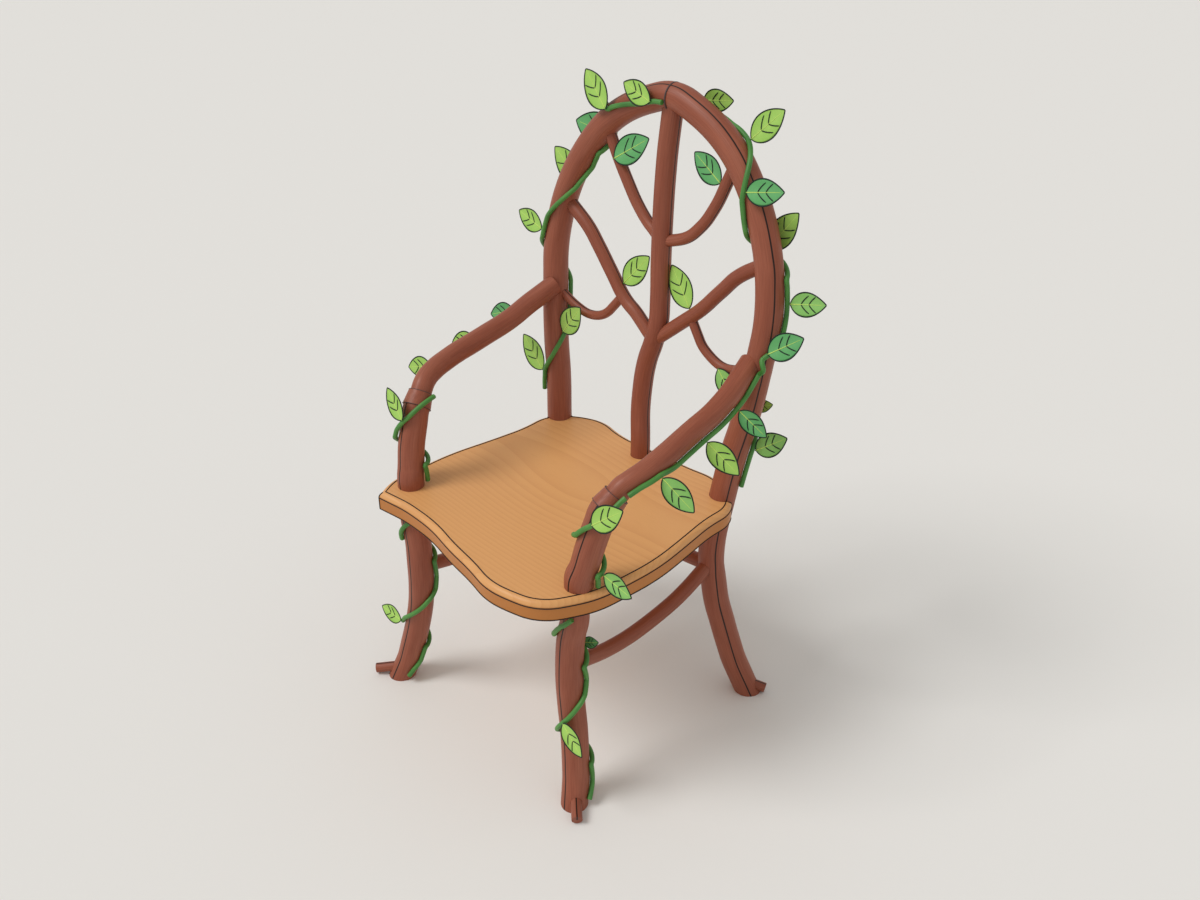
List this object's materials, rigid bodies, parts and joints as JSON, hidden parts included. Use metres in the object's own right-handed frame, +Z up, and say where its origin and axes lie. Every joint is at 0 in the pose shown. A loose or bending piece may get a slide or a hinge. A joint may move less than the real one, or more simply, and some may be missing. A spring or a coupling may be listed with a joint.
{
  "type": "rustic branch armchair",
  "caption": "Armchair of bent peeled poles with a solid wooden slab seat, a hoop back with branching twigs, and green leafy vines wound round the frame.",
  "frame": {"origin": "centre of the bounding box at the floor", "axes": "+Z up, -Y to the front of the chair, +X to the right as seen from the front"},
  "size_m": [0.7076, 0.6019, 1.153],
  "materials": {
    "post_wood": "peeled pole, stained red brown, satin varnish",
    "branch_wood": "peeled branch, stained red brown, satin varnish",
    "stretcher_wood": "peeled pole, stained red brown, satin varnish",
    "seat_wood": "planed solid slab, honey coloured, satin varnish",
    "dowel_wood": "turned hardwood, bare",
    "plug_wood": "turned hardwood, stained like the posts",
    "screw_steel": "zinc plated",
    "vine": "moulded green stem, matte",
    "leaf_light": "moulded leaf with printed veins, matte",
    "leaf_mid": "moulded leaf with printed veins, matte",
    "leaf_deep": "moulded leaf with printed veins, matte"
  },
  "bodies": {
    "root": {"arm_collar_left": "post_wood", "arm_collar_right": "post_wood", "arm_dowels": "dowel_wood", "arm_post_left": "post_wood", "arm_post_right": "post_wood", "arm_rail_left": "post_wood", "arm_rail_right": "post_wood", "back_post_left": "post_wood", "back_post_right": "post_wood", "back_stem": "branch_wood", "crown_dowel": "dowel_wood", "frame_screws": "screw_steel", "front_leg_left": "post_wood", "front_leg_right": "post_wood", "leaves_arm_rail_left_deep": "leaf_deep", "leaves_arm_rail_left_light": "leaf_light", "leaves_back_post_left_light": "leaf_light", "leaves_lower_twig_right_mid": "leaf_mid", "leaves_main_branch_left_light": "leaf_light", "leaves_main_branch_right_light": "leaf_light", "leaves_upper_twig_left_deep": "leaf_deep", "leaves_upper_twig_right_deep": "leaf_deep", "leaves_vine_arch_left_deep": "leaf_deep", "leaves_vine_arch_left_light": "leaf_light", "leaves_vine_arch_right_deep": "leaf_deep", "leaves_vine_arch_right_light": "leaf_light", "leaves_vine_arch_right_mid": "leaf_mid", "leaves_vine_arm_left_light": "leaf_light", "leaves_vine_arm_post_right_light": "leaf_light", "leaves_vine_arm_post_right_mid": "leaf_mid", "leaves_vine_arm_right_deep": "leaf_deep", "leaves_vine_arm_right_light": "leaf_light", "leaves_vine_arm_right_mid": "leaf_mid", "leaves_vine_leg_left_light": "leaf_light", "leaves_vine_leg_right_deep": "leaf_deep", "leaves_vine_leg_right_light": "leaf_light", "leaves_vine_post_right_light": "leaf_light", "leaves_vine_post_right_mid": "leaf_mid", "lower_twig_left": "branch_wood", "lower_twig_right": "branch_wood", "main_branch_left": "branch_wood", "main_branch_right": "branch_wood", "rear_stretcher": "stretcher_wood", "root_pegs": "branch_wood", "screw_plugs": "plug_wood", "seat_board": "seat_wood", "side_stretcher_left": "stretcher_wood", "side_stretcher_right": "stretcher_wood", "upper_twig_left": "branch_wood", "upper_twig_right": "branch_wood", "vine_arch_left": "vine", "vine_arch_right": "vine", "vine_arm_left": "vine", "vine_arm_post_right": "vine", "vine_arm_right": "vine", "vine_leg_left": "vine", "vine_leg_right": "vine", "vine_post_right": "vine"}
  },
  "joints": []
}
